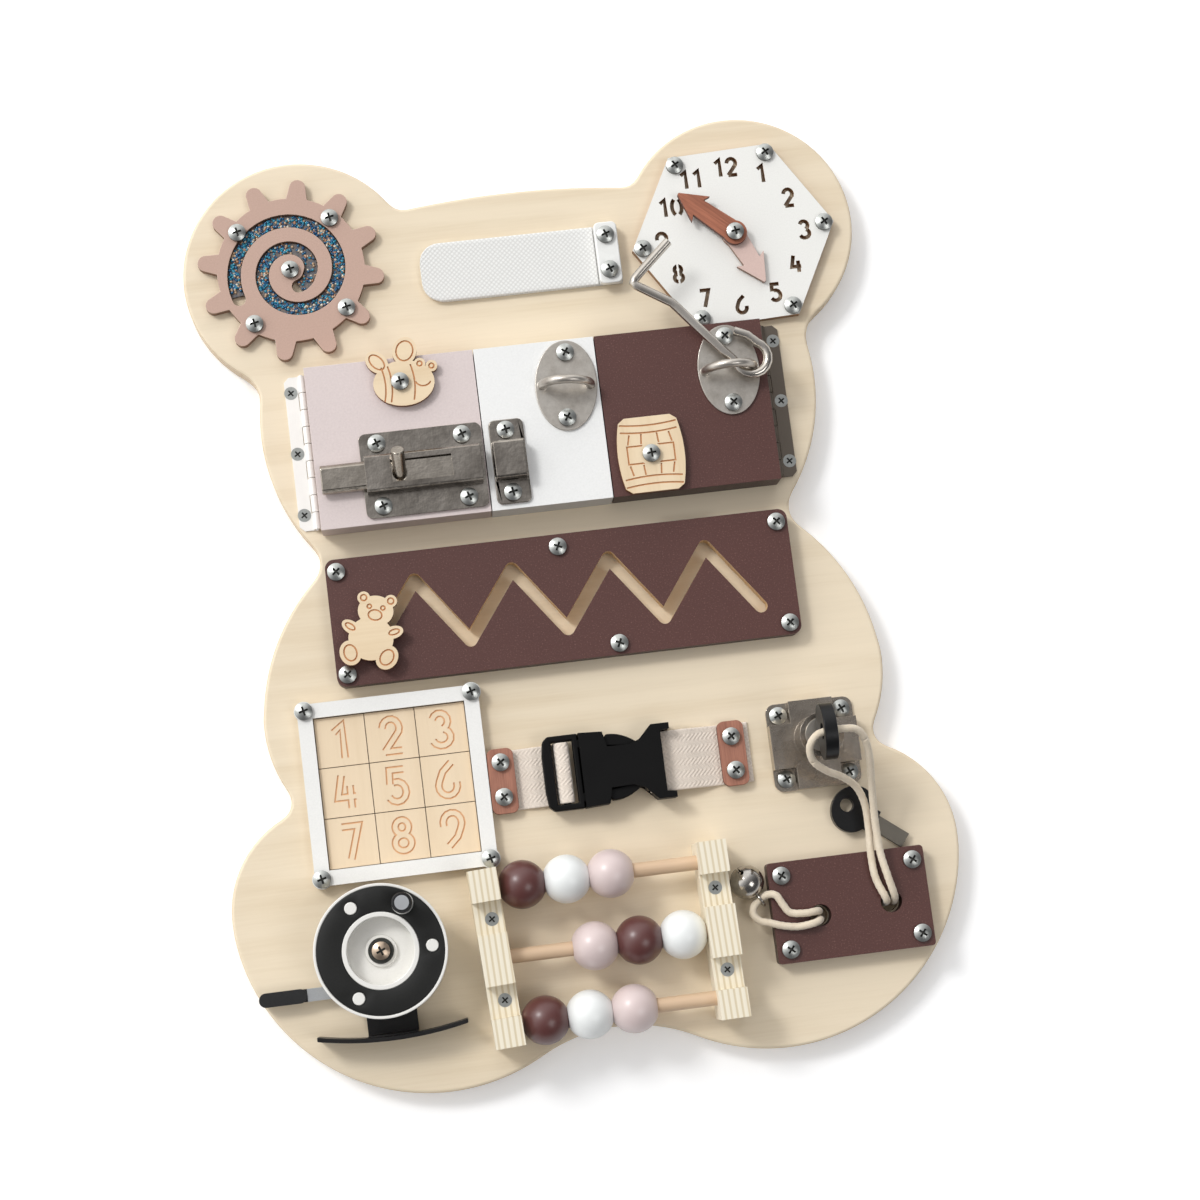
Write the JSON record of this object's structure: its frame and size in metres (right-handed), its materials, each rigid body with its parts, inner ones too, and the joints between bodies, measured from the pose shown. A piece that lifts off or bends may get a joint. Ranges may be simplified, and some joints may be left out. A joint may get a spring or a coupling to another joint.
{
  "type": "wooden busy board",
  "caption": "Bear-shaped plywood activity board carrying doors, bolt, hook, clock, mazes, buckle, lock, reel and bead rods that all move.",
  "frame": {"origin": "middle of the overall box in X and Y, on the flat back face of the board", "axes": "+X to the bear's left-hand side as seen (right in the picture), +Y up the bear towards the ears, +Z out of the board's face"},
  "size_m": [0.3136, 0.41, 0.0623],
  "materials": {
    "birch": "clear satin",
    "stained_pink": "washed pink stain",
    "dark_stain": "dark brown stain, stippled",
    "red_stain": "red-brown stain",
    "maze_stain": "rose stain",
    "white_paint": "white paint",
    "tape": "looped and hooked pile",
    "granule": "mixed beads",
    "nickel": "antique nickel",
    "zinc": "bright zinc",
    "webbing": "woven webbing",
    "black_plastic": "black",
    "white_plastic": "white",
    "cord": "braided",
    "brass": "satin"
  },
  "bodies": {
    "board_body": {"board": "birch", "gear_maze": "maze_stain", "granules": "granule", "tape_base": "tape", "tape_clamp": "white_paint", "clock_face": "white_paint", "center_panel": "white_paint", "bolt_keeper": "nickel", "panel_staple": "nickel", "hinge_fixed_leaves": "zinc", "hinge_pins": "zinc", "zigzag_plate": "dark_stain", "number_frame": "white_paint", "number_tiles": "birch", "strap_clamps": "red_stain", "straps": "webbing", "lock_case": "nickel", "spare_key": "black_plastic", "key_cord": "cord", "cord_plate": "dark_stain", "bell": "zinc", "bell_cord": "cord", "reel_bracket": "black_plastic", "abacus_posts": "birch", "abacus_rods": "birch", "board_screws": "zinc"},
    "tape_flap": {"tape_flap": "tape"},
    "hour_hand": {"hour_hand": "stained_pink"},
    "minute_hand": {"minute_hand": "red_stain"},
    "pink_door": {"pink_door": "stained_pink", "pink_door_leaf": "zinc", "bolt_housing": "nickel", "pink_door_screws": "zinc"},
    "bolt_bar": {"bolt_bar": "nickel"},
    "bee": {"bee": "birch"},
    "brown_door": {"brown_door": "dark_stain", "brown_door_leaf": "nickel", "door_staple": "nickel", "brown_door_screws": "zinc"},
    "hook": {"hook": "nickel"},
    "barrel": {"barrel": "birch"},
    "slider": {"slider_pin": "birch"},
    "bear": {"bear": "birch"},
    "buckle_plug": {"buckle_plug": "black_plastic"},
    "buckle_socket": {"buckle_socket": "black_plastic"},
    "lock_tongue": {"lock_tongue": "brass"},
    "lock_cylinder": {"lock_cylinder": "nickel"},
    "key": {"key": "black_plastic"},
    "reel_spool": {"reel_spool": "white_plastic"},
    "reel_knob": {"reel_knob": "black_plastic"},
    "reel_lever": {"reel_lever": "zinc"},
    "bead_top_1": {"bead_top_1": "dark_stain"},
    "bead_top_2": {"bead_top_2": "white_paint"},
    "bead_top_3": {"bead_top_3": "stained_pink"},
    "bead_middle_1": {"bead_middle_1": "stained_pink"},
    "bead_middle_2": {"bead_middle_2": "dark_stain"},
    "bead_middle_3": {"bead_middle_3": "white_paint"},
    "bead_bottom_1": {"bead_bottom_1": "dark_stain"},
    "bead_bottom_2": {"bead_bottom_2": "white_paint"},
    "bead_bottom_3": {"bead_bottom_3": "stained_pink"}
  },
  "joints": [
    {"name": "tape_lift", "type": "hinge", "parent": "board_body", "child": "tape_flap", "pos_m": [0.0324, 0.1479, 0.0152], "axis": [0, 1, 0], "range_deg": [0, 90]},
    {"name": "hour_turn", "type": "hinge", "parent": "board_body", "child": "hour_hand", "pos_m": [0.0945, 0.1501, 0.0175], "axis": [0, 0, 1], "continuous": true},
    {"name": "minute_turn", "type": "hinge", "parent": "board_body", "child": "minute_hand", "pos_m": [0.0945, 0.1501, 0.0203], "axis": [0, 0, 1], "continuous": true},
    {"name": "pink_door_swing", "type": "hinge", "parent": "board_body", "child": "pink_door", "pos_m": [-0.10255, 0.0741, 0.0137], "axis": [0, -1, 0], "range_deg": [0, 100]},
    {"name": "bolt_slide", "type": "slide", "parent": "pink_door", "child": "bolt_bar", "axis": [1, 0, 0], "range_m": [0, 0.019]},
    {"name": "bee_spin", "type": "hinge", "parent": "pink_door", "child": "bee", "pos_m": [-0.0599, 0.0968, 0.03], "axis": [0, 0, 1], "continuous": true},
    {"name": "brown_door_swing", "type": "hinge", "parent": "board_body", "child": "brown_door", "pos_m": [0.10105, 0.0741, 0.0137], "axis": [0, 1, 0], "range_deg": [0, 90]},
    {"name": "hook_swing", "type": "hinge", "parent": "brown_door", "child": "hook", "pos_m": [0.0923, 0.087, 0.0341], "axis": [0, 0, 1], "range_deg": [-35, 20]},
    {"name": "barrel_spin", "type": "hinge", "parent": "brown_door", "child": "barrel", "pos_m": [0.0438, 0.0534, 0.03], "axis": [0, 0, 1], "continuous": true},
    {"name": "slider_run", "type": "slide", "parent": "board_body", "child": "slider", "axis": [0.592, 0.806, 0], "range_m": [0, 0.033]},
    {"name": "bear_spin", "type": "hinge", "parent": "slider", "child": "bear", "pos_m": [-0.08362, -0.01489, 0.024], "axis": [0, 0, 1], "continuous": true},
    {"name": "socket_pull", "type": "slide", "parent": "board_body", "child": "buckle_socket", "axis": [1, 0, 0], "range_m": [0, 0.019], "deforming": ["straps"]},
    {"name": "plug_pull", "type": "slide", "parent": "board_body", "child": "buckle_plug", "axis": [-1, 0, 0], "range_m": [0, 0.0076], "deforming": ["straps"]},
    {"name": "lock_turn", "type": "hinge", "parent": "board_body", "child": "lock_cylinder", "pos_m": [0.0998, -0.076, 0.028], "axis": [0, 0, 1], "range_deg": [0, 90], "deforming": ["key_cord"]},
    {"name": "tongue_throw", "type": "slide", "parent": "board_body", "child": "lock_tongue", "axis": [0, 1, 0], "range_m": [0, 0.007]},
    {"name": "key_pull", "type": "slide", "parent": "lock_cylinder", "child": "key", "axis": [0, 0, 1], "range_m": [0, 0.02], "deforming": ["key_cord"]},
    {"name": "reel_spin", "type": "hinge", "parent": "board_body", "child": "reel_spool", "pos_m": [-0.0952, -0.1429, 0.028], "axis": [0, 0, 1], "continuous": true},
    {"name": "knob_spin", "type": "hinge", "parent": "reel_spool", "child": "reel_knob", "pos_m": [-0.08418, -0.12456, 0.044], "axis": [0, 0, 1], "continuous": true},
    {"name": "lever_swing", "type": "hinge", "parent": "board_body", "child": "reel_lever", "pos_m": [-0.112, -0.1574, 0.0177], "axis": [0, 0, 1], "range_deg": [-12, 12]},
    {"name": "bead_top_1_slide", "type": "slide", "parent": "board_body", "child": "bead_top_1", "axis": [1, 0, 0], "range_m": [0, 0.027]},
    {"name": "bead_top_2_slide", "type": "slide", "parent": "board_body", "child": "bead_top_2", "axis": [1, 0, 0], "range_m": [0, 0.027]},
    {"name": "bead_top_3_slide", "type": "slide", "parent": "board_body", "child": "bead_top_3", "axis": [1, 0, 0], "range_m": [0, 0.027]},
    {"name": "bead_middle_1_slide", "type": "slide", "parent": "board_body", "child": "bead_middle_1", "axis": [-1, 0, 0], "range_m": [0, 0.0253]},
    {"name": "bead_middle_2_slide", "type": "slide", "parent": "board_body", "child": "bead_middle_2", "axis": [-1, 0, 0], "range_m": [0, 0.0253]},
    {"name": "bead_middle_3_slide", "type": "slide", "parent": "board_body", "child": "bead_middle_3", "axis": [-1, 0, 0], "range_m": [0, 0.0253]},
    {"name": "bead_bottom_1_slide", "type": "slide", "parent": "board_body", "child": "bead_bottom_1", "axis": [1, 0, 0], "range_m": [0, 0.0243]},
    {"name": "bead_bottom_2_slide", "type": "slide", "parent": "board_body", "child": "bead_bottom_2", "axis": [1, 0, 0], "range_m": [0, 0.0243]},
    {"name": "bead_bottom_3_slide", "type": "slide", "parent": "board_body", "child": "bead_bottom_3", "axis": [1, 0, 0], "range_m": [0, 0.0243]}
  ],
  "couplings": [
    {"joint": "bead_top_2_slide", "follows": "bead_top_1_slide", "ratio": 1},
    {"joint": "bead_top_3_slide", "follows": "bead_top_1_slide", "ratio": 1},
    {"joint": "bead_middle_2_slide", "follows": "bead_middle_1_slide", "ratio": 1},
    {"joint": "bead_middle_3_slide", "follows": "bead_middle_1_slide", "ratio": 1},
    {"joint": "bead_bottom_2_slide", "follows": "bead_bottom_1_slide", "ratio": 1},
    {"joint": "bead_bottom_3_slide", "follows": "bead_bottom_1_slide", "ratio": 1},
    {"joint": "plug_pull", "follows": "socket_pull", "ratio": 0.4},
    {"joint": "lock_turn", "follows": "tongue_throw", "rad_per_m": 224.39}
  ]
}
